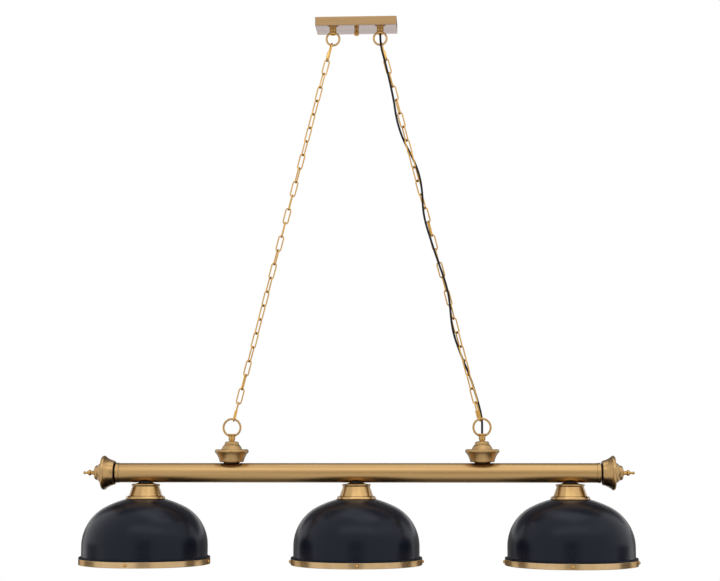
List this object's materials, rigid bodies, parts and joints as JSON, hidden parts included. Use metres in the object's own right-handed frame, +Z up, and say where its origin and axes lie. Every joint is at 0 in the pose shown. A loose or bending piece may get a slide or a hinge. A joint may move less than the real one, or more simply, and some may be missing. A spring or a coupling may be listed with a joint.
{
  "type": "billiard light",
  "caption": "Hanging billiard light: a long brass tube with black dome shades under it, hung by spreading chains from a rectangular ceiling canopy.",
  "frame": {"origin": "middle of the canopy's crossbar, on the ceiling plane", "axes": "+Z up into the ceiling, X along the tube, -Y towards the viewer of the picture"},
  "size_m": [1.4642, 0.3516, 1.4546],
  "materials": {
    "canopy_brass": "brushed antique brass, lacquered",
    "turned_brass": "turned and polished brass",
    "chain_brass": "brass plated steel wire",
    "tube_brass": "brushed antique brass, lacquered",
    "spun_brass": "brushed antique brass, lacquered",
    "holder_brass": "brushed antique brass, lacquered",
    "band_brass": "polished brass",
    "shell_brass": "pressed brass",
    "shade_black": "satin black paint",
    "black_plastic": "matt black",
    "lampholder_black": "matt phenolic moulding",
    "connector_plastic": "moulded plastic",
    "zinc_steel": "zinc plated",
    "green_screw": "green lacquer",
    "cord_black": "black round sheathed cord"
  },
  "bodies": {
    "canopy": {"canopy_cover": "canopy_brass", "ceiling_crossbar": "zinc_steel", "ground_screw": "green_screw", "canopy_stiffener": "zinc_steel", "canopy_stud": "zinc_steel", "canopy_knob": "turned_brass", "wire_connectors": "connector_plastic", "top_loop_left": "turned_brass", "top_loop_right": "turned_brass", "canopy_nipples": "zinc_steel", "canopy_nuts": "zinc_steel", "cord_canopy_end": "cord_black"},
    "left_top_link": {"quick_link_top_left": "chain_brass", "link_sleeve_top_left": "chain_brass"},
    "left_chain": {"chain_left": "chain_brass"},
    "left_bottom_link": {"quick_link_bottom_left": "chain_brass", "link_sleeve_bottom_left": "chain_brass"},
    "right_top_link": {"quick_link_top_right": "chain_brass", "link_sleeve_top_right": "chain_brass", "cord_top_link": "cord_black"},
    "right_chain": {"chain_right": "chain_brass", "cord_run": "cord_black"},
    "right_bottom_link": {"quick_link_bottom_right": "chain_brass", "link_sleeve_bottom_right": "chain_brass", "cord_bottom_link": "cord_black"},
    "bar": {"end_studs": "zinc_steel", "hanger_nipples": "zinc_steel", "hanger_nuts": "zinc_steel", "stem_nipples": "zinc_steel", "stem_nuts": "zinc_steel", "clamp_washers": "zinc_steel", "bottom_loop_left": "turned_brass", "bottom_loop_right": "turned_brass", "finial_left": "turned_brass", "finial_right": "turned_brass", "bar_tube": "tube_brass", "end_collars": "tube_brass", "hanger_cup_left": "spun_brass", "hanger_cup_right": "spun_brass", "end_cap_left": "spun_brass", "end_cap_right": "spun_brass", "shade_holder_left": "holder_brass", "shade_holder_centre": "holder_brass", "shade_holder_right": "holder_brass", "shade_band_left": "band_brass", "shade_band_centre": "band_brass", "shade_band_right": "band_brass", "band_screws": "band_brass", "saddle_spacers": "black_plastic", "stem_necks": "black_plastic", "end_spacers": "black_plastic", "end_plugs": "black_plastic", "shade_left": "shade_black", "shade_centre": "shade_black", "shade_right": "shade_black", "lampholder_left": "lampholder_black", "lampholder_centre": "lampholder_black", "lampholder_right": "lampholder_black", "screw_shells": "shell_brass", "cord_bar_end": "cord_black"}
  },
  "joints": [
    {"name": "swing", "type": "hinge", "parent": "canopy", "child": "right_top_link", "pos_m": [0.06839, 0, -0.06637], "axis": [1, 0, 0], "range_deg": [-45, 45], "deforming": ["cord_canopy_end"]},
    {"name": "sway", "type": "hinge", "parent": "right_top_link", "child": "right_chain", "pos_m": [0.07968, 0, -0.11106], "axis": [0, 1, 0], "range_deg": [-6, 6], "deforming": ["cord_top_link"]},
    {"name": "right_bottom_turn", "type": "hinge", "parent": "right_chain", "child": "right_bottom_link", "pos_m": [0.31259, 0, -1.03269], "axis": [0, 1, 0], "range_deg": [-2, 2], "deforming": ["cord_bottom_link"]},
    {"name": "rock", "type": "hinge", "parent": "right_bottom_link", "child": "bar", "pos_m": [0.32389, 0, -1.07738], "axis": [1, 0, 0], "range_deg": [-30, 30], "deforming": ["cord_bar_end"]},
    {"name": "left_swing", "type": "hinge", "parent": "canopy", "child": "left_top_link", "pos_m": [-0.06839, 0, -0.06637], "axis": [1, 0, 0], "range_deg": [-45, 45]},
    {"name": "left_sway", "type": "hinge", "parent": "left_top_link", "child": "left_chain", "pos_m": [-0.07968, 0, -0.11106], "axis": [0, 1, 0], "range_deg": [-6, 6]},
    {"name": "left_bottom_turn", "type": "hinge", "parent": "left_chain", "child": "left_bottom_link", "pos_m": [-0.31259, 0, -1.03269], "axis": [0, 1, 0], "range_deg": [-2, 2]}
  ],
  "couplings": [
    {"joint": "right_bottom_turn", "follows": "sway", "ratio": -0.2549},
    {"joint": "left_sway", "follows": "sway", "ratio": 1},
    {"joint": "left_bottom_turn", "follows": "sway", "ratio": -0.2549},
    {"joint": "left_swing", "follows": "swing", "ratio": 1}
  ]
}
